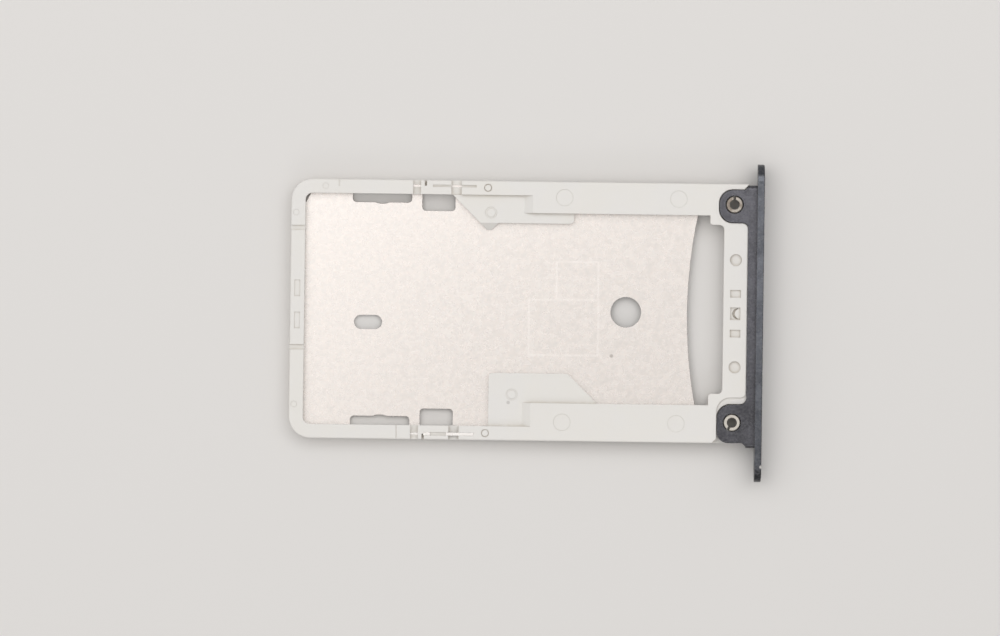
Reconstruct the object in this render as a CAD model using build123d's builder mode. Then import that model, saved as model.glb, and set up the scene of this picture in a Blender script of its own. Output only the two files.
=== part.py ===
"""Card tray of a phone: a moulded frame round a stamped steel plate, with a metal end cap on two pins.

The tray lies with its pockets up. +X runs from the far end, which goes in first, to the end cap.
Upper and lower mean the +Y and -Y sides in plan. The origin is under the middle of the whole tray.
Sizes are in millimetres.
"""
import os

from build123d import *

os.makedirs("parts", exist_ok=True)

# Cards that the pockets are cut for
micro_across = 15.0
micro_along = 12.0
micro_corner = 2.5
nano_across = 12.3
nano_along = 8.8
nano_corner = 1.65
memory_nose = 9.7
card_play = 0.05

# Where the smaller pockets lie across the tray, from its middle line
nano_shift = 0.2
memory_shift = 0.83

# Carrier frame in plan
side_rail = 0.92
far_rail = 0.93
island_length = 5.45
shoulder_length = 0.92
upper_shoulder = 0.61
lower_shoulder = 0.75
shoulder_round = 0.3
shoulder_step_round = 0.2
bar_width = 1.57
far_corner = 1.4
cap_corner = 0.3
pocket_corner = 0.45
island_corner = 0.25
ledge_length = 2.2
ramp_length = 0.55
nub_reach = 0.45
nub_flat = 0.3

# Heights, from the underside of the frame and the plate
body_thickness = 1.3
sheet = 0.2
card_depth = 0.8
nub_height = 0.3
rail_round = 0.1

# Floor plate
plate_grip = 0.4
plate_stop = 0.46
plate_hollow = 0.97
relief_along = 0.9
relief_across = 1.65
window_round = 0.25
window_lap = 0.15
long_window_inset = 3.07
long_window_length = 3.88
long_window_depth = 0.56
bulge_length = 0.8
bulge_depth = 0.09
window_web = 0.67
short_window_length = 2.17
short_window_depth = 1.08
slot_inset = 4.17
slot_shift = 0.85
slot_length = 1.83
slot_width = 0.92
push_hole_inset = 3.47
push_hole = 2.0

# Side tabs folded up from the plate into the rails
tab_length = 4.2
tab_cover = 0.27
tab_bend = 0.15
tab_recess = 0.03
tab_bury = 0.1
tab_foot_length = 0.92
tab_dip_start = 1.37
tab_dip_length = 1.02
tab_dip_depth = 0.08
tab_slit = 0.14
tab_vent_start = 0.82
tab_vent_width = 0.15
tab_vent_depth = 0.35

# Notches across the side rails, from the start of the tabs
first_notch_start = 0.07
first_notch_width = 0.5
second_notch_start = 2.57
second_notch_width = 0.66
notch_depth = 0.35

# Shallow moulding marks of the frame
groove_width = 0.33
groove_depth = 0.14
upper_groove = 5.26
lower_groove = 2.53
far_pad_depth = 0.06
far_pad_width = 0.36
far_pad_length = 1.06
upper_far_pad = 1.32
lower_far_pad = 0.78
bar_pad_along = 0.68
bar_pad_across = 0.49
bar_pad_spread = 1.3
bar_pad_depth = 0.15
bar_keeper_along = 0.65
bar_keeper_across = 0.81
keeper_moon = 0.7
keeper_moon_width = 0.17
keeper_moon_shift = 0.15
keeper_moon_depth = 0.35
bar_dimple = 0.78
bar_dimple_spread = 3.5
bar_dimple_depth = 0.2
mark_depth = 0.03
ejector_mark = 1.1
first_ejector = 2.07
ejector_pitch = 7.45
ejector_count = 2
gate_mark = 0.4
gate_ring = 0.52
gate_back = 0.19
gate_depth = 0.07
rail_dimple = 0.4
far_dimple_inset = 0.33
far_dimple_spread = 6.26
side_dimple_inset = 2.24
seam_width = 0.07
upper_seam_inset = 3.13
lower_seam_inset = 7.04
witness_mark = 0.54
witness_ring = 0.76
upper_witness_start = 0.03
upper_witness_edge = 0.67
lower_witness_start = 1.52
lower_witness_edge = 1.4

# End cap
cap_height = 2.2
face_thickness = 0.45
face_rim = 0.06
short_overhang = 1.3
long_overhang = 2.52
flange_depth = 0.58
flange_height = 1.5
flange_round = 0.3
flange_inset = 0.08
flange_outset = 0.29
ear_thickness = 0.65
ear_nose = 0.97
ear_inner = 1.17
upper_ear_outer = 0.95
lower_ear_outer = 1.33
ear_round = 0.9
ear_heel = 0.7
ear_root = 0.4
ear_gusset = 0.24
ear_gap = 0.05
ear_float = 0.47
ear_float_depth = 0.12
pocket_mouth = 0.3
eject_hole = 0.9

# Spring pins
pin_diameter = 1.05
pin_wall = 0.2
pin_slit = 0.16
upper_slit_turn = 90
lower_slit_turn = 240
pin_inset = 0.92
pin_edge = 1.35
pin_recess = 0.05
pin_proud = 0.05
pin_chamfer = 0.025
ear_hole_play = 0.07

# Cuts run this far past the outside of the piece
overrun = 1.0

# Places along the tray, from its far end
micro_start = far_rail
micro_end = micro_start + micro_along + 2 * card_play
nano_start = micro_end + island_length
nano_end = nano_start + nano_along + 2 * card_play
bar_start = nano_end + shoulder_length
body_length = bar_start + bar_width
ramp_start = micro_end + ledge_length
ramp_end = ramp_start + ramp_length
long_window_start = micro_start + long_window_inset
long_window_end = long_window_start + long_window_length
short_window_start = long_window_end + window_web
tab_start = long_window_end
pin_x = body_length - pin_inset

# Places across the tray, from its middle line
micro_half = micro_across / 2 + card_play
body_half = micro_half + side_rail
nano_upper = nano_shift + nano_across / 2 + card_play
nano_lower = nano_shift - nano_across / 2 - card_play
memory_upper = memory_shift + memory_nose / 2 + card_play
memory_lower = memory_shift - memory_nose / 2 - card_play
tab_outer = body_half - tab_cover
plate_half = tab_outer - sheet - tab_bend
pin_spread = body_half - pin_edge
upper_ear_inside = pin_spread - ear_inner
upper_ear_outside = pin_spread + upper_ear_outer
lower_ear_outside = -pin_spread - lower_ear_outer
flange_upper = body_half - flange_inset
flange_lower = -body_half - flange_outset

# Levels above the underside of the frame
island_top = sheet + card_depth
body_base = (cap_height - body_thickness) / 2
flange_base = (cap_height - flange_height) / 2
ear_top = flange_base + flange_height - body_base
shelf = ear_top - ear_thickness
tab_height = body_thickness - tab_recess
tab_low = body_thickness - notch_depth - tab_bury

# The frame that the plans are drawn in: far end, middle line and underside of the body
total_length = body_length + flange_depth + face_thickness
cap_length = 2 * body_half + short_overhang + long_overhang
far_end = -total_length / 2
body_mid = (long_overhang - short_overhang) / 2
body_end = far_end + body_length
tray = Plane((far_end, body_mid, body_base))
lengthwise = Plane((far_end, body_mid, body_base), x_dir=(1, 0, 0), z_dir=(0, -1, 0))
tab_section = Plane((far_end + tab_start, body_mid, body_base), x_dir=(0, 1, 0), z_dir=(1, 0, 0))

# Floor plate: one blank with windows, slot and hole, and a tab folded up along each side
with BuildPart() as floor_plate:
    with BuildSketch(tray):
        plate_far = micro_start - plate_grip
        plate_end = nano_end - plate_stop
        with BuildLine():
            Polyline(
                (plate_end, -plate_half),
                (plate_far, -plate_half),
                (plate_far, plate_half - relief_across),
                (plate_far + relief_along, plate_half),
                (plate_end, plate_half),
            )
            ThreePointArc((plate_end, plate_half), (plate_end - plate_hollow, 0), (plate_end, -plate_half))
        make_face()
        for side in (1, -1):
            bulge_middle = long_window_start + long_window_length / 2
            with Locations((bulge_middle, side * (micro_half - long_window_depth))):
                Ellipse(bulge_length / 2, bulge_depth, mode=Mode.SUBTRACT)
            for start, length, depth in (
                (long_window_start, long_window_length, long_window_depth),
                (short_window_start, short_window_length, short_window_depth),
            ):
                with Locations((start + length / 2, side * (micro_half + (window_lap - depth) / 2))):
                    RectangleRounded(length, depth + window_lap, window_round, mode=Mode.SUBTRACT)
        with Locations((micro_start + slot_inset, -slot_shift)):
            SlotOverall(slot_length, slot_width, mode=Mode.SUBTRACT)
        with Locations((nano_start + push_hole_inset, 0)):
            Circle(push_hole / 2, mode=Mode.SUBTRACT)
    extrude(amount=sheet)
    for side, height in ((1, tab_low), (-1, tab_height)):
        with BuildSketch(tab_section):
            with BuildLine():
                FilletPolyline(
                    (side * (micro_half + window_lap), 0),
                    (side * tab_outer, 0),
                    (side * tab_outer, height),
                    radius=tab_bend + sheet,
                )
                offset(amount=sheet, side=Side.LEFT if side > 0 else Side.RIGHT)
            make_face()
        extrude(amount=tab_length)
    with BuildSketch(lengthwise):
        with Locations((tab_start, tab_low)):
            Rectangle(tab_foot_length, body_thickness, align=(Align.MIN, Align.MIN))
        with Locations((tab_start + tab_dip_start, tab_low)):
            Rectangle(tab_dip_length, body_thickness, align=(Align.MIN, Align.MIN))
    extrude(amount=body_half, mode=Mode.SUBTRACT)

# Ramped stop under the edge of the upper island, in line with the cut corner of the larger card
nub_left = micro_end - micro_corner + micro_half - memory_upper - nub_reach
nub_width = nub_flat + 4 * nub_reach
nub_section = Plane((far_end + nub_left, body_mid, body_base), x_dir=(0, 1, 0), z_dir=(1, 0, 0))
with BuildPart() as nub:
    with BuildSketch(nub_section):
        with BuildLine():
            Polyline(
                (memory_upper + nub_reach, 0),
                (memory_upper + nub_reach, island_top),
                (memory_upper, island_top),
                (memory_upper - nub_reach, sheet + nub_height),
                (memory_upper - nub_reach, 0),
                close=True,
            )
        make_face()
    extrude(amount=nub_width)
    with BuildSketch(tray):
        with BuildLine():
            Polyline(
                (nub_left, memory_upper + nub_reach),
                (nub_left + 2 * nub_reach, memory_upper - nub_reach),
                (nub_left + 2 * nub_reach + nub_flat, memory_upper - nub_reach),
                (nub_left + nub_width, memory_upper + nub_reach),
                close=True,
            )
        make_face()
    extrude(amount=body_thickness, mode=Mode.INTERSECT)

# Carrier frame: rails and islands, moulded round the plate
with BuildPart() as carrier_frame:
    with BuildSketch(tray):
        Rectangle(body_length, 2 * body_half, align=(Align.MIN, Align.CENTER))
        corners = vertices().group_by(Axis.X)
        fillet(corners[0], far_corner)
        fillet(corners[-1], cap_corner)
    extrude(amount=body_thickness)
    fillet(faces().sort_by(Axis.Z)[-1].edges(), rail_round)
    fillet(faces().sort_by(Axis.Z)[0].edges(), rail_round)

    # Pockets and the window before the bar go right through
    with BuildSketch(tray):
        with Locations((micro_start, 0)):
            Rectangle(ramp_end - micro_start, 2 * micro_half, align=(Align.MIN, Align.CENTER))
        fillet(vertices().group_by(Axis.X)[0], pocket_corner)
    extrude(amount=body_thickness, mode=Mode.SUBTRACT)
    with BuildSketch(tray):
        window_lower = nano_lower + lower_shoulder
        window_upper = nano_upper - upper_shoulder
        with Locations((ramp_start, nano_lower)):
            Rectangle(nano_end - ramp_start, nano_upper - nano_lower, align=(Align.MIN, Align.MIN))
        with Locations((nano_start, window_lower)):
            Rectangle(bar_start - nano_start, window_upper - window_lower, align=(Align.MIN, Align.MIN))
        for across in (window_lower, window_upper):
            fillet(vertices().sort_by_distance((nano_end, across))[0], shoulder_step_round)
        fillet(vertices().group_by(Axis.X)[-1], shoulder_round)
    extrude(amount=body_thickness, mode=Mode.SUBTRACT)

    # Islands between the pockets, lower than the rails, with the cut corners of the two cards
    rail_middle = micro_half + side_rail / 2
    with BuildSketch(tray):
        corner_start = micro_end - micro_corner
        with BuildLine():
            Polyline(
                (corner_start, rail_middle),
                (corner_start, micro_half),
                (corner_start + micro_half - memory_upper, memory_upper),
                (nano_start, memory_upper),
                (nano_start, nano_upper),
                (nano_start, rail_middle),
                close=True,
            )
        make_face()
        fillet(vertices().group_by(Axis.Y)[0].sort_by(Axis.X)[-1], island_corner)
    extrude(amount=island_top)
    with BuildSketch(tray):
        cut_end = nano_start + nano_corner
        with BuildLine():
            Polyline(
                (micro_end, -rail_middle),
                (micro_end, memory_lower),
                (cut_end + nano_lower - memory_lower, memory_lower),
                (cut_end, nano_lower),
                (cut_end, -rail_middle),
                close=True,
            )
        make_face()
        fillet(vertices().group_by(Axis.Y)[-1], island_corner)
    extrude(amount=island_top)
    add(nub.part)

    # Ramps from the islands up to the wide rails
    for inner, outer in ((nano_upper, micro_half), (nano_lower, -micro_half)):
        with BuildSketch(lengthwise.offset(-inner)):
            with BuildLine():
                Polyline(
                    (ramp_start, 0),
                    (ramp_start, island_top),
                    (ramp_end, body_thickness),
                    (ramp_end, 0),
                    close=True,
                )
            make_face()
        extrude(amount=inner - outer)
    add(floor_plate.part, mode=Mode.SUBTRACT)

    # Shelf for the upper ear inside a rim, and for the lower ear open to the side, with a shallow step
    pocket_far = pin_x - ear_nose - ear_gap
    upper_rim = upper_ear_outside + ear_gap
    rim_end = body_length - ear_gusset - ear_gap
    with BuildSketch(tray.offset(shelf)):
        inside = upper_ear_inside - ear_gap
        with BuildLine():
            Polyline(
                (body_length + overrun, inside - overrun),
                (body_length, inside - overrun),
                (body_length, inside),
                (pocket_far, inside),
                (pocket_far, upper_rim),
                (rim_end, upper_rim),
                (body_length + overrun, upper_rim + body_length + overrun - rim_end),
                close=True,
            )
        make_face()
        for across in (inside, upper_rim):
            fillet(vertices().sort_by_distance((pocket_far, across))[0], ear_round)
        fillet(vertices().sort_by_distance((body_length, inside))[0], ear_root)
    extrude(amount=body_thickness, mode=Mode.SUBTRACT)
    for level, clear in ((shelf, ear_gap), (body_thickness - ear_float_depth, ear_float)):
        with BuildSketch(tray.offset(level)):
            inside = clear - upper_ear_inside
            with BuildLine():
                Polyline(
                    (body_length + overrun, inside + overrun),
                    (body_length, inside + overrun),
                    (body_length, inside),
                    (pocket_far, inside),
                    (pocket_far, pocket_mouth - body_half),
                    (pocket_far - pocket_mouth - overrun, -body_half - overrun),
                    (body_length + overrun, -body_half - overrun),
                    close=True,
                )
            make_face()
            fillet(vertices().sort_by_distance((pocket_far, inside))[0], ear_round)
            fillet(vertices().sort_by_distance((body_length, inside))[0], ear_root)
        extrude(amount=body_thickness, mode=Mode.SUBTRACT)
    with BuildSketch(tray):
        with Locations((pin_x, pin_spread), (pin_x, -pin_spread)):
            Circle(pin_diameter / 2)
    extrude(amount=body_thickness, mode=Mode.SUBTRACT)

    # Notches across the side rails, slits over the low stretches of the tabs and slots over the high ones
    notches = ((first_notch_start, first_notch_width), (second_notch_start, second_notch_width))
    with BuildSketch(tray.offset(body_thickness - notch_depth)):
        for start, width in notches:
            with Locations((tab_start + start, micro_half)):
                Rectangle(width, side_rail + overrun, align=(Align.MIN, Align.MIN))
            with Locations((tab_start + start, -micro_half)):
                Rectangle(width, side_rail + overrun, align=(Align.MIN, Align.MAX))
    extrude(amount=body_thickness, mode=Mode.SUBTRACT)
    tab_middle = tab_outer - sheet / 2
    with BuildSketch(tray.offset(tab_low)):
        for start, width in notches:
            with Locations((tab_start + start, tab_middle), (tab_start + start, -tab_middle)):
                Rectangle(width, tab_slit, align=(Align.MIN, Align.CENTER))
    extrude(amount=tab_bury, mode=Mode.SUBTRACT)
    with BuildSketch(tray.offset(tab_height)):
        with Locations((tab_start + tab_foot_length, -tab_middle)):
            Rectangle(tab_length - tab_foot_length, sheet, align=(Align.MIN, Align.CENTER))
    extrude(amount=body_thickness, mode=Mode.SUBTRACT)
    with BuildSketch(tray.offset(body_thickness - tab_dip_depth)):
        with Locations((tab_start + tab_dip_start, tab_middle)):
            Rectangle(tab_length - tab_dip_start, tab_slit, align=(Align.MIN, Align.CENTER))
        with Locations((tab_start + tab_dip_start, -tab_middle)):
            Rectangle(tab_dip_length, sheet, align=(Align.MIN, Align.CENTER))
    extrude(amount=body_thickness, mode=Mode.SUBTRACT)
    with BuildSketch(tray.offset(body_thickness - tab_vent_depth)):
        with Locations((tab_start + tab_vent_start, tab_middle)):
            Rectangle(tab_vent_width, side_rail, align=(Align.MIN, Align.MIN))
        with Locations((tab_start + tab_vent_start, -tab_middle)):
            Rectangle(tab_vent_width, side_rail, align=(Align.MIN, Align.MAX))
    extrude(amount=body_thickness, mode=Mode.SUBTRACT)
    add(floor_plate.part, mode=Mode.SUBTRACT)

    # Cross grooves of the far rail, shallow pads, dimples and moulding marks
    with BuildSketch(tray.offset(body_thickness - groove_depth)):
        with Locations((far_rail, upper_groove), (far_rail, -lower_groove)):
            Rectangle(far_rail + overrun, groove_width, align=(Align.MAX, Align.CENTER))
    extrude(amount=body_thickness, mode=Mode.SUBTRACT)
    bar_middle = bar_start + bar_width / 2
    with BuildSketch(tray.offset(body_thickness - far_pad_depth)):
        with Locations((far_rail / 2, upper_far_pad), (far_rail / 2, -lower_far_pad)):
            Rectangle(far_pad_width, far_pad_length)
    extrude(amount=body_thickness, mode=Mode.SUBTRACT)
    with BuildSketch(tray.offset(body_thickness - bar_pad_depth)):
        with Locations((bar_middle, bar_pad_spread), (bar_middle, -bar_pad_spread)):
            Rectangle(bar_pad_along, bar_pad_across)
        with Locations((bar_middle, 0)):
            Rectangle(bar_keeper_along, bar_keeper_across)
    extrude(amount=body_thickness, mode=Mode.SUBTRACT)
    with BuildSketch(tray.offset(body_thickness - keeper_moon_depth)):
        with Locations((bar_middle + keeper_moon_shift, 0)):
            Circle(keeper_moon / 2)
        with Locations((bar_middle + keeper_moon_shift + keeper_moon_width, 0)):
            Circle(keeper_moon / 2, mode=Mode.SUBTRACT)
    extrude(amount=body_thickness, mode=Mode.SUBTRACT)
    with BuildSketch(tray.offset(body_thickness - bar_dimple_depth)):
        with Locations((bar_middle, bar_dimple_spread), (bar_middle, -bar_dimple_spread)):
            Circle(bar_dimple / 2)
    extrude(amount=body_thickness, mode=Mode.SUBTRACT)
    with BuildSketch(tray.offset(body_thickness - mark_depth)):
        for side, inner in ((1, nano_upper), (-1, nano_lower)):
            middle = (inner + side * body_half) / 2
            for n in range(ejector_count):
                with Locations((ramp_end + first_ejector + n * ejector_pitch, middle)):
                    Circle(ejector_mark / 2)
        with Locations((far_dimple_inset, far_dimple_spread), (far_dimple_inset, -far_dimple_spread)):
            Circle(rail_dimple / 2)
        with Locations((side_dimple_inset, rail_middle)):
            Circle(rail_dimple / 2)
        with Locations((upper_seam_inset, rail_middle)):
            Rectangle(seam_width, side_rail, align=(Align.CENTER, Align.MIN))
        with Locations((lower_seam_inset, -micro_half)):
            Rectangle(seam_width, side_rail + overrun, align=(Align.CENTER, Align.MAX))
    extrude(amount=body_thickness, mode=Mode.SUBTRACT)
    with BuildSketch(tray.offset(body_thickness - gate_depth)):
        with Locations((micro_end - gate_back, rail_middle), (micro_end - gate_back, -rail_middle)):
            Circle(gate_ring / 2)
            Circle(gate_mark / 2, mode=Mode.SUBTRACT)
    extrude(amount=body_thickness, mode=Mode.SUBTRACT)
    with BuildSketch(tray.offset(island_top - mark_depth)):
        with Locations(
            (micro_end + upper_witness_start, memory_upper + upper_witness_edge),
            (micro_end + lower_witness_start, memory_lower - lower_witness_edge),
        ):
            Circle(witness_ring / 2)
            Circle(witness_mark / 2, mode=Mode.SUBTRACT)
    extrude(amount=mark_depth, mode=Mode.SUBTRACT)

# End cap: faceplate with round ends, flange behind it and two ears with pin holes
with BuildPart() as end_cap:
    with BuildSketch(Plane.YZ.offset(body_end + flange_depth)):
        with Locations((0, cap_height / 2)):
            SlotOverall(cap_length, cap_height)
    extrude(amount=face_thickness)
    chamfer(faces().sort_by(Axis.X)[-1].edges(), face_rim)
    with BuildSketch(Plane.YZ.offset(body_end)):
        with Locations((body_mid + (flange_upper + flange_lower) / 2, cap_height / 2)):
            RectangleRounded(flange_upper - flange_lower, flange_height, flange_round)
    extrude(amount=flange_depth)
    with BuildSketch(tray.offset(shelf)):
        ear_far = pin_x - ear_nose
        for inside, outside, heel in (
            (upper_ear_inside, upper_ear_outside, ear_round),
            (-upper_ear_inside, lower_ear_outside, ear_heel),
        ):
            with BuildLine():
                Polyline(
                    (body_length, inside),
                    (ear_far, inside),
                    (ear_far, outside),
                    (body_length, outside),
                    close=True,
                )
            make_face()
            fillet(vertices().sort_by_distance((ear_far, inside))[0], ear_round)
            fillet(vertices().sort_by_distance((ear_far, outside))[0], heel)
            gusset = ear_gusset if outside > 0 else -ear_gusset
            with BuildLine():
                Polyline(
                    (body_length, outside),
                    (body_length - ear_gusset, outside),
                    (body_length, outside + gusset),
                    close=True,
                )
            make_face()
        with Locations((body_length, 0)):
            Rectangle(flange_depth, 2 * upper_ear_inside + ear_root, align=(Align.MIN, Align.CENTER))
        for side in (1, -1):
            fillet(vertices().sort_by_distance((body_length, side * upper_ear_inside))[0], ear_root)
        with Locations((pin_x, pin_spread), (pin_x, -pin_spread)):
            Circle(pin_diameter / 2 + ear_hole_play, mode=Mode.SUBTRACT)
    extrude(amount=ear_thickness)
    with BuildSketch(Plane.YZ.offset(body_end)):
        with Locations(((cap_height - cap_length) / 2, cap_height / 2)):
            Circle(eject_hole / 2)
    extrude(amount=flange_depth + face_thickness, mode=Mode.SUBTRACT)


def spring_pin(side, slit_turn):
    """A rolled pin with a slit, pressed into the shelf on that side and standing through the ear."""
    with BuildPart() as pin:
        with BuildSketch(tray.offset(pin_recess)):
            with Locations((pin_x, side * pin_spread)):
                Circle(pin_diameter / 2)
        extrude(amount=ear_top + pin_proud - pin_recess)
        chamfer(edges().filter_by(GeomType.CIRCLE), pin_chamfer)
        with BuildSketch(tray.offset(pin_recess)):
            with Locations(Location((pin_x, side * pin_spread), slit_turn)):
                Circle(pin_diameter / 2 - pin_wall)
                Rectangle(pin_diameter, pin_slit, align=(Align.MIN, Align.CENTER))
        extrude(amount=ear_top + pin_proud, mode=Mode.SUBTRACT)
    return pin


upper_pin = spring_pin(1, upper_slit_turn)
lower_pin = spring_pin(-1, lower_slit_turn)

for name, piece in (
    ("carrier_frame", carrier_frame),
    ("floor_plate", floor_plate),
    ("end_cap", end_cap),
    ("upper_pin", upper_pin),
    ("lower_pin", lower_pin),
):
    piece.part.label = name
    export_step(piece.part, f"parts/{name}.step")
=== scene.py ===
import math

import bpy
from bpy.props import FloatProperty, FloatVectorProperty, PointerProperty
from bpy.types import Operator, Panel, PropertyGroup
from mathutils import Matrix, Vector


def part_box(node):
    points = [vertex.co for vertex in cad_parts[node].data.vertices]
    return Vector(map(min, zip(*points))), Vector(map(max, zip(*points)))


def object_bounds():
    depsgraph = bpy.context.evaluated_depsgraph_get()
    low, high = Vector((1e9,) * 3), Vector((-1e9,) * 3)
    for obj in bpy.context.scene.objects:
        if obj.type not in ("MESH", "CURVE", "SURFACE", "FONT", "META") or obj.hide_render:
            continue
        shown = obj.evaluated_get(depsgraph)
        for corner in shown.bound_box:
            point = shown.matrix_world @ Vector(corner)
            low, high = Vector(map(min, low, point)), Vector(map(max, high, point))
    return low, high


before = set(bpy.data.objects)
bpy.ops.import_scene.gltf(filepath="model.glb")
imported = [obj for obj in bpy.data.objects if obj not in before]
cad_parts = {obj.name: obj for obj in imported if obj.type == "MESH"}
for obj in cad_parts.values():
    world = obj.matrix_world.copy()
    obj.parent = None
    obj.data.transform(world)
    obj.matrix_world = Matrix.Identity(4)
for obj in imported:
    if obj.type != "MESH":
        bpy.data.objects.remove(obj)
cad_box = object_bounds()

bl_info = {
    "name": "Card tray finishes",
    "version": (1, 0, 0),
    "blender": (4, 5, 0),
    "location": "View3D > Sidebar > Card tray",
    "description": "Finishes for a card tray's plastic frame, steel plate, dark cap and pins, and a stage",
    "category": "Object",
}

MM = 0.001

# Thickness of the end cap's faceplate in the solids
FACE_THICKNESS = 0.45 * MM

# Where the faceplate's colour starts and where it is full, along the tray from the back of the faceplate
FACE_BLEND = (-0.02 * MM, 0.01 * MM)

# Share of a tip of the end cap where its painted shade is full, from its end inwards
TIP_CORE = 0.8

# Half of the band along the tray's middle in which a finish changes from the lower to the upper side
MIDDLE_BAND = 1.0 * MM

# Pressed outlines on the plate, in millimetres: middle along and across the tray, half length, half width
OUTLINES = ((2.43, -0.44, 2.27, 1.81), (3.31, 2.62, 1.36, 1.25))

# Lamps, in metres: the setting that holds the brightness, middle of the face, its two sides, turn in degrees
LAMPS = (
    ("overhead", (0.0, 0.02, 0.27), (0.40, 0.40), (0, 0, 0)),
    ("side", (-0.086, 0.103, 0.25), (0.24, 0.36), (0, 0, -50)),
    ("fill", (0.13, 0.08, 0.23), (0.16, 0.20), (0, 0, 0)),
    ("front", (0.0, -0.28, 0.20), (0.20, 0.12), (54, 0, 0)),
)

# Half of the floor's side, in metres, and the camera's sensor, in millimetres
FLOOR_HALF = 1.5
SENSOR_WIDTH = 36.0


def linear(level):
    """Linear level of a display level, both from 0 to 1."""
    return level / 12.92 if level <= 0.04045 else ((level + 0.055) / 1.055) ** 2.4


def seen(red, green, blue):
    """Linear colour of a display colour in steps of 255."""
    return tuple(linear(step / 255) for step in (red, green, blue))


# Settings of the finishes and the stage


def colour(name, description, default):
    """A colour that the user can change."""
    return FloatVectorProperty(
        name=name, description=description, default=default, subtype="COLOR", size=3, min=0, max=1
    )


def length(name, description, value):
    """A length that the user can change, given in millimetres."""
    return FloatProperty(
        name=name, description=description, default=value * MM, unit="LENGTH", subtype="DISTANCE", precision=6
    )


def spot(name, description, *values):
    """A place on the tray that the user can change, given in millimetres."""
    return FloatVectorProperty(
        name=name,
        description=description,
        default=tuple(value * MM for value in values),
        subtype="TRANSLATION",
        unit="LENGTH",
        size=3,
    )


def share(name, description, default):
    """A share from 0 to 1 that the user can change."""
    return FloatProperty(name=name, description=description, default=default, min=0, max=1, subtype="FACTOR")


def number(name, description, default):
    """A plain number that the user can change."""
    return FloatProperty(name=name, description=description, default=default, min=0)


def angle(name, description, degrees):
    """An angle that the user can change."""
    return FloatProperty(name=name, description=description, default=math.radians(degrees), subtype="ANGLE")


class FrameFinish(PropertyGroup):
    """Moulded plastic of the carrier frame."""

    body: colour("Body colour", "Pale warm grey of the moulding", seen(224, 221, 217))
    cloud: colour("Cloud colour", "Slightly yellower patches in the moulding", seen(225, 221, 214))
    cloud_share: share("Cloud strength", "How much the patches show", 0.6)
    patch: length("Cloud size", "Size of the patches", 3.2)
    # Dust colour, laid by the crevice mask: partly dust, partly painted shade in slots, marks and corners
    dust: colour("Dust colour", "What settles in slots, marks and corners", seen(172, 158, 134))
    dust_and_shade_share: share("Dust strength", "How much the dust shows", 0.55)
    dust_and_shade_reach: length("Dust reach", "How far the dust spreads from a corner", 0.5)
    speck: colour("Speck colour", "Small dark inclusions", seen(132, 122, 116))
    speck_share: share("Speck strength", "How much the inclusions show", 0.7)
    fleck: spot("Fleck place", "Where one larger inclusion lies on the lower island", -1.12, -5.38, 1.45)
    fleck_size: length("Fleck size", "Reach of that inclusion", 0.15)
    fleck_share: share("Fleck strength", "How much that inclusion shows", 0.35)
    grain: number("Grain per millimetre", "Fineness of the mould's satin texture", 9.0)
    depth: length("Grain depth", "Height of the texture", 0.0016)
    edge: length("Edge radius", "Softening of the moulded edges", 0.035)
    gloss: share("Roughness", "Roughness of the satin surface", 0.46)


class PlateFinish(PropertyGroup):
    """Rolled stainless sheet of the floor plate."""

    body: colour("Sheet colour", "Bright warm steel", (0.658, 0.624, 0.597))
    warm: colour("Warm patches", "Pinkish clouding of the rolled surface", (0.650, 0.596, 0.562))
    warm_share: share("Warm strength", "How much the pinkish clouding shows", 0.7)
    warm_patch: length("Warm patch size", "Size of the pinkish clouding", 0.22)
    cool: colour("Cool patches", "Greyer clouding of the rolled surface", (0.570, 0.550, 0.534))
    cool_share: share("Cool strength", "How much the greyer clouding shows", 0.5)
    cool_patch: length("Cool patch size", "Size of the greyer clouding", 0.308)
    etch: colour("Outline colour", "Pale pressed outlines and scuffs on the floor", (0.68, 0.645, 0.62))
    etch_share: share("Outline strength", "How much the pressed outlines show", 0.85)
    line: length("Outline width", "Width of the pressed outlines", 0.10)
    scuff_share: share("Scuff strength", "How much the rubbing marks show", 0.25)
    speck: colour("Speck colour", "Pits and dust", seen(140, 134, 128))
    speck_share: share("Speck strength", "How much the specks show", 0.8)
    pit: spot("Pit place", "Where one larger pit lies in the sheet", 5.59, -2.26, 0.65)
    pit_size: length("Pit size", "Reach of that pit", 0.15)
    pit_share: share("Pit strength", "How much that pit shows", 0.5)
    # Painted highlight: a pale colour on the top of the lower tab, standing in for light glinting off its
    # edge
    tab_glint: colour("Burnished colour", "Bright rubbed edge of the lower tab", (0.72, 0.70, 0.68))
    tab_glint_start: length("Burnish start", "Height at which the rubbing on the lower tab starts", 1.0)
    tab_glint_full: length("Burnish full", "Height at which the lower tab is fully rubbed", 1.2)
    # Darker colour on the cut edges: partly their duller sheared finish, partly painted shade on the upright
    # walls
    shear: colour("Sheared edge colour", "Cut edges of the sheet", (0.30, 0.28, 0.26))
    shear_gloss: share("Sheared roughness", "How much rougher the cut edges are", 0.15)
    grain: number("Grain per millimetre", "Fineness of the rolled grain", 7.0)
    depth: length("Grain depth", "Height of the grain", 0.0007)
    edge: length("Edge radius", "Softening of the punched edges", 0.03)
    gloss: share("Roughness", "Roughness of the satin sheet", 0.27)


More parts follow.
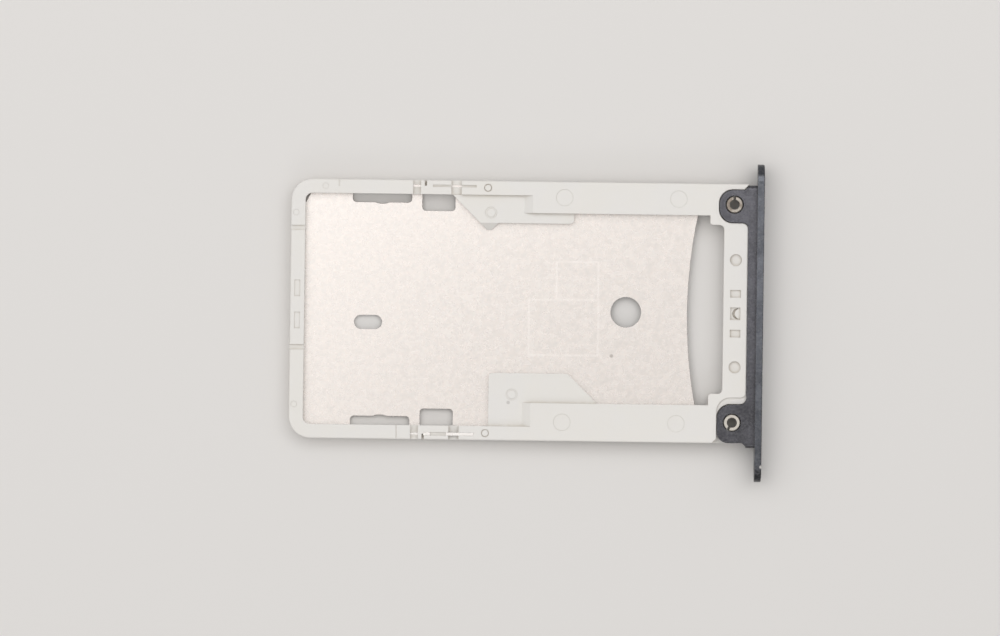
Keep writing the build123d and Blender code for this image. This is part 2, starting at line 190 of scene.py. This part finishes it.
class CapFinish(PropertyGroup):
    """Dark anodised metal of the end cap."""

    body: colour("Body colour", "Dark slate of the blasted and dyed metal", seen(84, 84, 90))
    face: colour("Faceplate colour", "Bluer and lighter rim of the faceplate", seen(90, 93, 100))
    patch: length("Cloud size", "Size of the uneven patches in the dye", 1.8)
    cloud_share: share("Cloud strength", "How much lighter or darker the patches are", 0.1)
    # Painted shade: the cap's colour grows darker towards the long overhang and at both tips, where light
    # falls off
    fade: share("Dye fade", "How much darker the dye is towards the long overhang", 0.35)
    shade_fade_start: length("Fade start", "Where the dye starts to darken across the tray", 2.0)
    shade_fade_end: length("Fade end", "Where the dye is darkest across the tray", -8.0)
    tip: length("Tip length", "Length of the darker tips", 0.85)
    tip_shade: share("Tip fade", "How much darker the dye is at the tips", 0.48)
    # Worn colour: rubbed dye at edges and in scuffs, also laid as painted glints on the peaks of the blasted
    # texture
    worn_and_glint: colour("Worn colour", "Dye rubbed thin at the edges", seen(150, 150, 152))
    worn_share: share("Worn strength", "How much the rubbed edges show", 0.35)
    scuff_share: share("Scuff strength", "How much the rubbing marks show", 0.15)
    glint_share: share("Glint strength", "How much paler the peaks of the blasted texture are", 0.14)
    # Painted shade: a dark colour laid by the crevice mask in corners and along the crease between flange and
    # faceplate
    dust: colour("Grime colour", "Dark grime held in the corners", seen(52, 50, 52))
    dust_and_shade_reach: length("Grime reach", "How far the grime spreads from a corner", 0.45)
    # A small bright spot on the faceplate's outer top edge over the eject hole
    bright_spot_colour: colour("Bare colour", "Bare metal in the nick over the eject hole", seen(205, 204, 202))
    bright_spot: length("Nick size", "Reach of the nick on the faceplate's outer edge", 0.16)
    bright_spot_y: length("Nick place", "Where the nick lies across the tray", -9.38)
    grain: number("Grain per millimetre", "Fineness of the blasted texture", 7.0)
    depth: length("Grain depth", "Height of the blasted texture", 0.0032)
    edge: length("Edge radius", "Softening of the machined edges", 0.06)
    gloss: share("Roughness", "Roughness of the anodised surface", 0.25)
    metal: share("Metal share", "How metallic the dyed surface looks", 0.9)


class PinFinish(PropertyGroup):
    """Dull rolled steel of the two spring pins."""

    body: colour("Body colour", "Dull spring steel", seen(187, 183, 176))
    stain: colour("Stain colour", "Brown heat stain and old oil", seen(118, 108, 98))
    upper: share("Upper stain", "How stained the upper pin is", 0.65)
    lower: share("Lower stain", "How stained the lower pin is", 0.15)
    patch: length("Stain size", "Size of the stained patches", 0.42)
    patch_share: share("Stain variation", "How much the stain varies over a pin", 0.4)
    # Stain in the hollow, laid by the crevice mask: partly old oil, partly painted shade in the bore
    dust_and_shade_share: share("Grime strength", "How much the stain in the hollow shows", 0.7)
    dust_and_shade_reach: length("Grime reach", "How far that stain spreads from a corner", 0.5)
    grain: number("Grain per millimetre", "Fineness of the rolled grain", 12.0)
    depth: length("Grain depth", "Height of the grain", 0.002)
    edge: length("Edge radius", "Softening of the pin's rims", 0.03)
    gloss: share("Roughness", "Roughness of the rolled surface", 0.36)


class StageLook(PropertyGroup):
    """Floor, lamps and camera."""

    floor: colour("Floor colour", "Plain pale surface under the tray", seen(222, 219, 216))
    sky: share("Sky level", "Even light from all round", 0.55)
    overhead: number("Overhead lamp", "Brightness that the wide lamp right above adds", 0.235)
    side: number("Side lamp", "Brightness that the lamp above the far upper corner adds", 1.06)
    fill: number("Fill lamp", "Brightness that the small lamp above the cap adds", 0.95)
    front: number("Front lamp", "Brightness of the slanting lamp from the bottom of the picture", 1.2)
    camera_height: length("Camera height", "Camera above the tray", 600)
    view_width: length("View width", "Width of the picture at the tray", 65.36)
    centre_x: length("View centre X", "Middle of the picture along the tray", -1.725)
    centre_y: length("View centre Y", "Middle of the picture across the tray", 0.131)
    view_level: length("View level", "Height at which the view width holds", 1.2)
    turn: angle("Camera turn", "Turn of the picture", 0.75)


# Wiring helpers for shader node trees


def place(tree, kind, **settings):
    """A new node with these attributes."""
    made = tree.nodes.new(kind)
    for key, value in settings.items():
        setattr(made, key, value)
    return made


def feed(tree, socket, value):
    """Links an output socket to an input, or sets the input to a plain value."""
    if isinstance(value, bpy.types.NodeSocket):
        tree.links.new(value, socket)
    elif socket.type == "RGBA":
        socket.default_value = (*value, 1.0)
    else:
        socket.default_value = value


def calc(tree, operation, first, second=0.0, third=0.0):
    """One step of arithmetic."""
    made = place(tree, "ShaderNodeMath", operation=operation)
    for socket, value in zip(made.inputs, (first, second, third)):
        feed(tree, socket, value)
    return made.outputs[0]


def ramp(tree, value, low, high, start=0.0, end=1.0):
    """Smooth step from start, where the value is at low, to end, where it is at high."""
    made = place(tree, "ShaderNodeMapRange", interpolation_type="SMOOTHSTEP")
    settings = {"Value": value, "From Min": low, "From Max": high, "To Min": start, "To Max": end}
    for key, given in settings.items():
        feed(tree, made.inputs[key], given)
    return made.outputs["Result"]


def lay(tree, mask, under, over):
    """Colour over laid on colour under where the mask is 1."""
    made = place(tree, "ShaderNodeMix", data_type="RGBA")
    feed(tree, made.inputs[0], mask)
    feed(tree, made.inputs[6], under)
    feed(tree, made.inputs[7], over)
    return made.outputs[2]


def cover(tree, under, over, mask, strength):
    """Colour over laid on colour under by that strength where the mask is 1."""
    return lay(tree, calc(tree, "MULTIPLY", mask, strength), under, over)


def position(tree):
    """Place on the piece, in metres of the tray's own frame."""
    return place(tree, "ShaderNodeTexCoord").outputs["Object"]


def millimetres(tree):
    """Place on the piece, in millimetres of the tray's own frame."""
    made = place(tree, "ShaderNodeVectorMath", operation="SCALE")
    feed(tree, made.inputs[0], position(tree))
    made.inputs["Scale"].default_value = 1 / MM
    return made.outputs[0]


def split(tree, vector):
    """The X, Y and Z of a vector."""
    made = place(tree, "ShaderNodeSeparateXYZ")
    feed(tree, made.inputs[0], vector)
    return made.outputs


def noise(tree, where, scale, detail, rough, bend=0.0):
    """Cloudy noise around 0.5."""
    made = place(tree, "ShaderNodeTexNoise")
    settings = {"Vector": where, "Scale": scale, "Detail": detail, "Roughness": rough, "Distortion": bend}
    for key, value in settings.items():
        feed(tree, made.inputs[key], value)
    return made.outputs["Fac"]


def effect(name, inputs, outputs):
    """A new shader node group with these named sockets, as (tree, inputs, function to set an output)."""
    tree = bpy.data.node_groups.new(name, "ShaderNodeTree")
    for key, value in inputs.items():
        kind = "NodeSocketVector" if isinstance(value, tuple) else "NodeSocketFloat"
        socket = tree.interface.new_socket(name=key, in_out="INPUT", socket_type=kind)
        socket.default_value = value
    for key, kind in outputs.items():
        tree.interface.new_socket(name=key, in_out="OUTPUT", socket_type=kind)
    start = place(tree, "NodeGroupInput")
    end = place(tree, "NodeGroupOutput")
    return tree, start.outputs, lambda key, value: feed(tree, end.inputs[key], value)


# Shared effects


def surface_grain():
    """Fine texture: a height for bumps and a slow tone for gloss."""
    tree, given, put = effect(
        "Surface grain", {"Per millimetre": 8.0}, {"Height": "NodeSocketFloat", "Tone": "NodeSocketFloat"}
    )
    where = millimetres(tree)
    slow = calc(tree, "MULTIPLY", given["Per millimetre"], 0.24)
    put("Height", noise(tree, where, given["Per millimetre"], detail=3.0, rough=0.62))
    put("Tone", noise(tree, where, slow, detail=2.0, rough=0.55))
    return tree


def cloudy_tone():
    """Soft patches over the surface."""
    tree, given, put = effect("Cloudy tone", {"Patch": 1.0 * MM, "Shift": 0.0}, {"Mask": "NodeSocketFloat"})
    spread = place(tree, "ShaderNodeCombineXYZ")
    for socket in spread.inputs:
        feed(tree, socket, given["Shift"])
    moved = place(tree, "ShaderNodeVectorMath", operation="ADD")
    feed(tree, moved.inputs[0], millimetres(tree))
    feed(tree, moved.inputs[1], spread.outputs[0])
    scale = calc(tree, "DIVIDE", MM, given["Patch"])
    clouds = noise(tree, moved.outputs[0], scale, detail=4.0, rough=0.6, bend=0.3)
    put("Mask", ramp(tree, clouds, low=0.3, high=0.7))
    return tree


def worn_edges():
    """A normal that rounds the edges, and a broken line along them where they are rubbed."""
    tree, given, put = effect(
        "Worn edges",
        {"Radius": 0.05 * MM, "Breakup per millimetre": 3.0},
        {"Mask": "NodeSocketFloat", "Normal": "NodeSocketVector"},
    )
    rounded = place(tree, "ShaderNodeBevel", samples=6)
    feed(tree, rounded.inputs["Radius"], given["Radius"])
    facing = place(tree, "ShaderNodeVectorMath", operation="DOT_PRODUCT")
    feed(tree, facing.inputs[0], rounded.outputs[0])
    feed(tree, facing.inputs[1], place(tree, "ShaderNodeNewGeometry").outputs["Normal"])
    bent = ramp(tree, calc(tree, "SUBTRACT", 1.0, facing.outputs["Value"]), low=0.02, high=0.22)
    patches = noise(tree, millimetres(tree), given["Breakup per millimetre"], detail=3.0, rough=0.6)
    put("Mask", calc(tree, "MULTIPLY", bent, ramp(tree, patches, low=0.38, high=0.66)))
    put("Normal", rounded.outputs[0])
    return tree


def crevice_dust_and_shade():
    """Where dust stays and where shade falls: narrow slots, inner corners and shallow marks, found by ambient
    occlusion.
    """
    tree, given, put = effect(
        "Crevice dust", {"Reach": 0.4 * MM, "Breakup per millimetre": 2.0}, {"Mask": "NodeSocketFloat"}
    )
    open_share = place(tree, "ShaderNodeAmbientOcclusion", samples=8, only_local=True)
    feed(tree, open_share.inputs["Distance"], given["Reach"])
    deep = ramp(tree, calc(tree, "SUBTRACT", 1.0, open_share.outputs["AO"]), low=0.12, high=0.75)
    patches = noise(tree, millimetres(tree), given["Breakup per millimetre"], detail=3.0, rough=0.6)
    put("Mask", calc(tree, "MULTIPLY", deep, ramp(tree, patches, low=0.25, high=0.65, start=0.35)))
    return tree


def fine_scuffs():
    """Hair-thin rubbing marks in two directions."""
    tree, given, put = effect(
        "Fine scuffs", {"Per millimetre": 6.0, "Share": 0.3}, {"Mask": "NodeSocketFloat"}
    )
    where = millimetres(tree)
    # A larger share lowers the noise level at which a mark starts
    limit = calc(tree, "SUBTRACT", 0.76, calc(tree, "MULTIPLY", given["Share"], 0.2))
    full = calc(tree, "ADD", limit, 0.05)
    marks = []
    for turn in (0.16, -1.05):
        stretched = place(tree, "ShaderNodeMapping")
        feed(tree, stretched.inputs["Vector"], where)
        stretched.inputs["Rotation"].default_value = (0, 0, turn)
        stretched.inputs["Scale"].default_value = (0.05, 1.0, 0.3)
        found = noise(tree, stretched.outputs[0], given["Per millimetre"], detail=2.0, rough=0.7)
        marks.append(ramp(tree, found, limit, full))
    put("Mask", calc(tree, "MAXIMUM", *marks))
    return tree


def stray_specks():
    """A few small dots: dust, pits and inclusions."""
    tree, given, put = effect(
        "Stray specks", {"Spacing": 1.0 * MM, "Size": 0.1, "Share": 0.1}, {"Mask": "NodeSocketFloat"}
    )
    cells = place(tree, "ShaderNodeTexVoronoi")
    feed(tree, cells.inputs["Vector"], millimetres(tree))
    feed(tree, cells.inputs["Scale"], calc(tree, "DIVIDE", MM, given["Spacing"]))
    chance = place(tree, "ShaderNodeSeparateColor")
    feed(tree, chance.inputs[0], cells.outputs["Color"])
    kept = calc(tree, "LESS_THAN", chance.outputs[0], given["Share"])
    varied = ramp(tree, chance.outputs[1], low=0.0, high=1.0, start=0.4)
    size = calc(tree, "MULTIPLY", given["Size"], varied)
    dot = ramp(tree, cells.outputs["Distance"], size, calc(tree, "MULTIPLY", size, 0.5))
    put("Mask", calc(tree, "MULTIPLY", kept, dot))
    return tree


def pressed_outline():
    """A rectangle drawn in thin lines on the floor of the tray."""
    tree, given, put = effect(
        "Pressed outline",
        {"Middle x": 0.0, "Middle y": 0.0, "Half length": 1.0 * MM, "Half width": 1.0 * MM, "Line": 0.1 * MM},
        {"Mask": "NodeSocketFloat"},
    )
    where = split(tree, position(tree))
    past = []
    for axis, middle, half in (("X", "Middle x", "Half length"), ("Y", "Middle y", "Half width")):
        away = calc(tree, "ABSOLUTE", calc(tree, "SUBTRACT", where[axis], given[middle]))
        past.append(calc(tree, "SUBTRACT", away, given[half]))
    rim = calc(tree, "ABSOLUTE", calc(tree, "MAXIMUM", *past))
    drawn = ramp(tree, rim, given["Line"], calc(tree, "MULTIPLY", given["Line"], 0.3))
    patches = noise(tree, millimetres(tree), 1.3, detail=3.0, rough=0.6)
    put("Mask", calc(tree, "MULTIPLY", drawn, ramp(tree, patches, low=0.3, high=0.62, start=0.5)))
    return tree


def single_mark():
    """One soft round mark at a spot of the tray."""
    tree, given, put = effect(
        "Single mark", {"Middle": (0.0, 0.0, 0.0), "Reach": 0.15 * MM}, {"Mask": "NodeSocketFloat"}
    )
    away = place(tree, "ShaderNodeVectorMath", operation="DISTANCE")
    feed(tree, away.inputs[0], position(tree))
    feed(tree, away.inputs[1], given["Middle"])
    core = calc(tree, "MULTIPLY", given["Reach"], 0.5)
    put("Mask", ramp(tree, away.outputs["Value"], given["Reach"], core))
    return tree


def slow_change():
    """A slow change from 0 to 1 between two places along each axis of the tray."""
    axes = ("X", "Y", "Z")
    tree, given, put = effect(
        "Slow change", {"Start": 0.0, "End": 1.0 * MM}, {axis: "NodeSocketFloat" for axis in axes}
    )
    where = split(tree, position(tree))
    for axis in axes:
        put(axis, ramp(tree, where[axis], given["Start"], given["End"]))
    return tree


EFFECTS = {
    "grain": surface_grain,
    "clouds": cloudy_tone,
    "edges": worn_edges,
    "dust": crevice_dust_and_shade,
    "scuffs": fine_scuffs,
    "specks": stray_specks,
    "outline": pressed_outline,
    "mark": single_mark,
    "change": slow_change,
}
built = {}


def use(tree, name, **values):
    """The outputs of a shared effect, built on its first use and placed in a material with its own values."""
    if name not in built:
        built[name] = EFFECTS[name]()
    made = place(tree, "ShaderNodeGroup", node_tree=built[name])
    for key, value in values.items():
        feed(tree, made.inputs[key.replace("_", " ").capitalize()], value)
    return made.outputs


def between(tree, axis, start, end):
    """Mask that goes from 0 at start to 1 at end along one axis of the tray."""
    return use(tree, "change", start=start, end=end)[axis]


def near(tree, middle, reach):
    """Mask that is 1 at a spot of the tray and 0 beyond that reach."""
    return use(tree, "mark", middle=middle, reach=reach)["Mask"]


# Finishes


def finish_of(name):
    """A new material as (material, its tree, its Principled shader)."""
    made = bpy.data.materials.new(name)
    made.use_nodes = True
    tree = made.node_tree
    return made, tree, tree.nodes["Principled BSDF"]


def varied_gloss(tree, tone, gloss, less, more, low=0.3, high=0.7):
    """Roughness that goes below and above its middle value by these amounts as the tone changes."""
    return ramp(tree, tone, low, high, start=gloss - less, end=gloss + more)


def raise_grain(tree, shader, height, depth, normal):
    """Bumps of that depth on top of a normal."""
    bump = place(tree, "ShaderNodeBump")
    bump.inputs["Strength"].default_value = 1.0
    bump.inputs["Distance"].default_value = depth
    feed(tree, bump.inputs["Height"], height)
    feed(tree, bump.inputs["Normal"], normal)
    feed(tree, shader.inputs["Normal"], bump.outputs[0])


def give(node, material):
    """Puts a material on every face of a CAD node."""
    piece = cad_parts[node]
    piece.data.materials.clear()
    piece.data.materials.append(material)


class TRAY_OT_finish_frame(Operator):
    """Moulded plastic on the carrier frame"""

    bl_idname = "tray.finish_frame"
    bl_label = "Finish carrier frame"

    def execute(self, context):
        look = context.scene.tray_frame_finish
        made, tree, shader = finish_of("moulded_plastic_finish")
        grain = use(tree, "grain", per_millimetre=look.grain)
        clouds = use(tree, "clouds", patch=look.patch)
        edges = use(tree, "edges", radius=look.edge)
        dust = use(tree, "dust", reach=look.dust_and_shade_reach, breakup_per_millimetre=1.4)
        specks = use(tree, "specks", spacing=1.6 * MM, size=0.03, share=0.08)
        fleck = near(tree, look.fleck, look.fleck_size)
        tone = cover(tree, look.body, look.cloud, clouds["Mask"], look.cloud_share)
        # Dust in slots, marks and corners, partly painted shade there
        tone = cover(tree, tone, look.dust, dust["Mask"], look.dust_and_shade_share)
        tone = cover(tree, tone, look.speck, specks["Mask"], look.speck_share)
        tone = cover(tree, tone, look.speck, fleck, look.fleck_share)
        feed(tree, shader.inputs["Base Color"], tone)
        dull = varied_gloss(tree, grain["Tone"], look.gloss, less=0.05, more=0.07)
        feed(tree, shader.inputs["Roughness"], dull)
        shader.inputs["IOR"].default_value = 1.5
        raise_grain(tree, shader, grain["Height"], look.depth, edges["Normal"])
        give("carrier_frame", made)
        return {"FINISHED"}


class TRAY_OT_finish_plate(Operator):
    """Rolled stainless steel on the floor plate"""

    bl_idname = "tray.finish_plate"
    bl_label = "Finish floor plate"

    def execute(self, context):
        look = context.scene.tray_plate_finish
        made, tree, shader = finish_of("satin_stainless_finish")
        grain = use(tree, "grain", per_millimetre=look.grain)
        warm = use(tree, "clouds", patch=look.warm_patch)
        cool = use(tree, "clouds", patch=look.cool_patch, shift=31.0)
        edges = use(tree, "edges", radius=look.edge)
        scuffs = use(tree, "scuffs", per_millimetre=5.0, share=0.25)
        specks = use(tree, "specks", spacing=2.3 * MM, size=0.028, share=0.16)
        pit = near(tree, look.pit, look.pit_size)
        upright = self.upright(tree)
        tone = cover(tree, look.body, look.warm, warm["Mask"], look.warm_share)
        tone = cover(tree, tone, look.cool, cool["Mask"], look.cool_share)
        tone = cover(tree, tone, look.etch, self.outlines(tree, look), look.etch_share)
        tone = cover(tree, tone, look.etch, scuffs["Mask"], look.scuff_share)
        tone = cover(tree, tone, look.speck, specks["Mask"], look.speck_share)
        tone = cover(tree, tone, look.speck, pit, look.pit_share)
        # Painted highlight on the top of the lower tab
        tone = lay(tree, self.lower_tab_glint(tree, look), tone, look.tab_glint)
        # Darker cut edges: partly their sheared finish, partly painted shade
        tone = lay(tree, upright, tone, look.shear)
        feed(tree, shader.inputs["Base Color"], tone)
        shader.inputs["Metallic"].default_value = 1.0
        dull = varied_gloss(tree, grain["Tone"], look.gloss, less=0.02, more=0.02)
        dull = calc(tree, "ADD", dull, calc(tree, "MULTIPLY", upright, look.shear_gloss))
        feed(tree, shader.inputs["Roughness"], dull)
        raise_grain(tree, shader, grain["Height"], look.depth, edges["Normal"])
        give("floor_plate", made)
        return {"FINISHED"}

    def outlines(self, tree, look):
        """Mask of the two pressed outlines."""
        masks = []
        for along, across, half_length, half_width in OUTLINES:
            drawn = use(
                tree,
                "outline",
                middle_x=along * MM,
                middle_y=across * MM,
                half_length=half_length * MM,
                half_width=half_width * MM,
                line=look.line,
            )
            masks.append(drawn["Mask"])
        return calc(tree, "MAXIMUM", *masks)

    def upright(self, tree):
        """Mask of the faces that stand upright: the cut edges and the sides of the tabs."""
        normal = split(tree, place(tree, "ShaderNodeNewGeometry").outputs["Normal"])
        return ramp(tree, calc(tree, "ABSOLUTE", normal["Z"]), low=0.8, high=0.4)

    def lower_tab_glint(self, tree, look):
        """Mask of the top of the lower tab, where the painted highlight goes."""
        high = between(tree, "Z", look.tab_glint_start, look.tab_glint_full)
        lower_side = between(tree, "Y", 0.0, -MIDDLE_BAND)
        return calc(tree, "MULTIPLY", high, lower_side)


class TRAY_OT_finish_cap(Operator):
    """Dark anodised metal on the end cap"""

    bl_idname = "tray.finish_cap"
    bl_label = "Finish end cap"

    def execute(self, context):
        look = context.scene.tray_cap_finish
        made, tree, shader = finish_of("dark_anodised_finish")
        grain = use(tree, "grain", per_millimetre=look.grain)
        clouds = use(tree, "clouds", patch=look.patch, shift=7.0)
        edges = use(tree, "edges", radius=look.edge, breakup_per_millimetre=4.0)
        dust = use(tree, "dust", reach=look.dust_and_shade_reach, breakup_per_millimetre=3.0)
        scuffs = use(tree, "scuffs", per_millimetre=4.0, share=0.2)
        low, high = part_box("end_cap")
        start, end = (high.x - FACE_THICKNESS + step for step in FACE_BLEND)
        face = between(tree, "X", start, end)
        # A small bright spot on the faceplate's outer top edge over the eject hole
        bright_spot = near(tree, (high.x, look.bright_spot_y, high.z), look.bright_spot)
        # Painted glints: the paler colour on the peaks of the blasted texture
        glints = ramp(tree, grain["Height"], low=0.35, high=0.65, end=look.glint_share)
        # Dye colour, darkened by painted shade towards the long overhang and at the tips
        dyed_and_shaded = place(tree, "ShaderNodeHueSaturation")
        feed(tree, dyed_and_shaded.inputs["Color"], lay(tree, face, look.body, look.face))
        feed(tree, dyed_and_shaded.inputs["Value"], self.dye_and_shade_level(tree, look, clouds["Mask"], low.y, high.y))
        tone = lay(tree, glints, dyed_and_shaded.outputs[0], look.worn_and_glint)
        # Painted shade: the dark colour in corners and the crease between flange and faceplate
        tone = lay(tree, dust["Mask"], tone, look.dust)
        tone = cover(tree, tone, look.worn_and_glint, scuffs["Mask"], look.scuff_share)
        tone = cover(tree, tone, look.worn_and_glint, edges["Mask"], look.worn_share)
        tone = lay(tree, bright_spot, tone, look.bright_spot_colour)
        feed(tree, shader.inputs["Base Color"], tone)
        shader.inputs["Metallic"].default_value = look.metal
        dull = varied_gloss(tree, grain["Tone"], look.gloss, less=0.06, more=0.08)
        feed(tree, shader.inputs["Roughness"], dull)
        raise_grain(tree, shader, grain["Height"], look.depth, edges["Normal"])
        give("end_cap", made)
        return {"FINISHED"}

    def dye_and_shade_level(self, tree, look, clouds, lower_end, upper_end):
        """How light the dye is: cloudy, with painted shade darkening it towards the long overhang and at both
        tips.
        """
        level = ramp(tree, clouds, low=0.0, high=1.0, start=1 - look.cloud_share, end=1 + look.cloud_share)
        core = TIP_CORE * look.tip
        painted_shades = (
            (look.shade_fade_start, look.shade_fade_end, look.fade),
            (lower_end + look.tip, lower_end + core, look.tip_shade),
            (upper_end - look.tip, upper_end - core, look.tip_shade),
        )
        for start, end, amount in painted_shades:
            level = calc(tree, "MULTIPLY_ADD", between(tree, "Y", start, end), -amount, level)
        return level


class TRAY_OT_finish_pins(Operator):
    """Dull spring steel on the two pins"""

    bl_idname = "tray.finish_pins"
    bl_label = "Finish spring pins"

    def execute(self, context):
        look = context.scene.tray_pin_finish
        made, tree, shader = finish_of("pin_steel_finish")
        grain = use(tree, "grain", per_millimetre=look.grain)
        stain = use(tree, "clouds", patch=look.patch, shift=3.0)
        edges = use(tree, "edges", radius=look.edge)
        dust = use(tree, "dust", reach=look.dust_and_shade_reach, breakup_per_millimetre=5.0)
        upper_side = between(tree, "Y", -MIDDLE_BAND, MIDDLE_BAND)
        age = ramp(tree, upper_side, low=0.0, high=1.0, start=look.lower, end=look.upper)
        patches = ramp(
            tree, stain["Mask"], low=0.0, high=1.0, start=1 - look.patch_share, end=1 + look.patch_share
        )
        tone = cover(tree, look.body, look.stain, age, patches)
        # Stain in the hollow: partly old oil, partly painted shade in the bore
        tone = cover(tree, tone, look.stain, dust["Mask"], look.dust_and_shade_share)
        feed(tree, shader.inputs["Base Color"], tone)
        shader.inputs["Metallic"].default_value = 1.0
        dull = varied_gloss(tree, stain["Mask"], look.gloss, less=0.06, more=0.12, low=0.0, high=1.0)
        feed(tree, shader.inputs["Roughness"], dull)
        raise_grain(tree, shader, grain["Height"], look.depth, edges["Normal"])
        for node in ("upper_pin", "lower_pin"):
            give(node, made)
        return {"FINISHED"}


class TRAY_OT_set_stage(Operator):
    """Pale floor, soft lamps and the camera above the tray"""

    bl_idname = "tray.set_stage"
    bl_label = "Set stage"

    def execute(self, context):
        scene = context.scene
        look = scene.tray_stage_look
        self.lay_floor(scene, look)
        self.light_sky(scene, look)
        for name, middle, sides, turn in LAMPS:
            self.hang_lamp(scene, f"{name}_lamp", getattr(look, name), middle, sides, turn)
        self.set_camera(scene, look)
        scene.view_settings.view_transform = "Standard"
        return {"FINISHED"}

    def lay_floor(self, scene, look):
        """The floor meets the cap's lower edge and the far end of the frame, as the tray lies."""
        low, high = cad_box
        heel = high.x - FACE_THICKNESS
        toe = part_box("carrier_frame")[0]
        mesh = bpy.data.meshes.new("floor")
        corners = [(x * FLOOR_HALF, y * FLOOR_HALF, 0) for x, y in ((-1, -1), (1, -1), (1, 1), (-1, 1))]
        mesh.from_pydata(corners, [], [(0, 1, 2, 3)])
        floor = bpy.data.objects.new("floor", mesh)
        floor.location = ((heel + toe.x) / 2, 0, (low.z + toe.z) / 2)
        floor.rotation_euler = (0, math.atan2(toe.z - low.z, heel - toe.x), 0)
        scene.collection.objects.link(floor)
        made, tree, shader = finish_of("floor_finish")
        feed(tree, shader.inputs["Base Color"], look.floor)
        shader.inputs["Roughness"].default_value = 1.0
        shader.inputs["Specular IOR Level"].default_value = 0.0
        mesh.materials.append(made)

    def light_sky(self, scene, look):
        """Even light, which the camera and reflections see as a backdrop in the floor's colour."""
        world = bpy.data.worlds.new("soft_sky")
        world.use_nodes = True
        scene.world = world
        tree = world.node_tree
        rays = place(tree, "ShaderNodeLightPath").outputs
        shown = rays["Is Camera Ray"]
        for kind in ("Is Glossy Ray", "Is Transmission Ray"):
            shown = calc(tree, "MAXIMUM", shown, rays[kind])
        sky = tree.nodes["Background"]
        feed(tree, sky.inputs["Color"], lay(tree, shown, (look.sky,) * 3, look.floor))
        sky.inputs["Strength"].default_value = 1.0

    def hang_lamp(self, scene, name, level, middle, sides, turn):
        """An area lamp whose face has that brightness."""
        lamp = bpy.data.lights.new(name, "AREA")
        lamp.shape = "RECTANGLE"
        lamp.size, lamp.size_y = sides
        lamp.energy = level * math.pi * sides[0] * sides[1]
        hung = bpy.data.objects.new(name, lamp)
        hung.location = middle
        hung.rotation_euler = tuple(math.radians(degrees) for degrees in turn)
        scene.collection.objects.link(hung)

    def set_camera(self, scene, look):
        """Straight down on the tray, at the picture's scale and turn."""
        lens = bpy.data.cameras.new("camera")
        lens.sensor_width = SENSOR_WIDTH
        lens.lens = SENSOR_WIDTH * look.camera_height / look.view_width
        lens.clip_start = 0.01
        lens.clip_end = 10.0
        camera = bpy.data.objects.new("camera", lens)
        camera.location = (look.centre_x, look.centre_y, look.view_level + look.camera_height)
        camera.rotation_euler = (0, 0, look.turn)
        scene.collection.objects.link(camera)
        scene.camera = camera


# Each group of settings on the scene, with the operator that uses it
PARTS = (
    ("tray_frame_finish", FrameFinish, TRAY_OT_finish_frame),
    ("tray_plate_finish", PlateFinish, TRAY_OT_finish_plate),
    ("tray_cap_finish", CapFinish, TRAY_OT_finish_cap),
    ("tray_pin_finish", PinFinish, TRAY_OT_finish_pins),
    ("tray_stage_look", StageLook, TRAY_OT_set_stage),
)


class TRAY_PT_finishes(Panel):
    """Finishes of the tray and its stage"""

    bl_label = "Card tray"
    bl_idname = "TRAY_PT_finishes"
    bl_space_type = "VIEW_3D"
    bl_region_type = "UI"
    bl_category = "Card tray"

    def draw(self, context):
        for name, group, operator in PARTS:
            box = self.layout.box()
            box.operator(operator.bl_idname)
            for key in group.__annotations__:
                box.prop(getattr(context.scene, name), key)


def register():
    """Registers the settings, the operators and the panel."""
    for name, group, operator in PARTS:
        bpy.utils.register_class(group)
        bpy.utils.register_class(operator)
        setattr(bpy.types.Scene, name, PointerProperty(type=group))
    bpy.utils.register_class(TRAY_PT_finishes)


def unregister():
    """Takes away what register added."""
    bpy.utils.unregister_class(TRAY_PT_finishes)
    for name, group, operator in reversed(PARTS):
        delattr(bpy.types.Scene, name)
        bpy.utils.unregister_class(operator)
        bpy.utils.unregister_class(group)


def main():
    """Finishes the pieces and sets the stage."""
    register()
    bpy.ops.tray.finish_frame()
    bpy.ops.tray.finish_plate()
    bpy.ops.tray.finish_cap()
    bpy.ops.tray.finish_pins()
    bpy.ops.tray.set_stage()


if __name__ == "__main__":
    main()
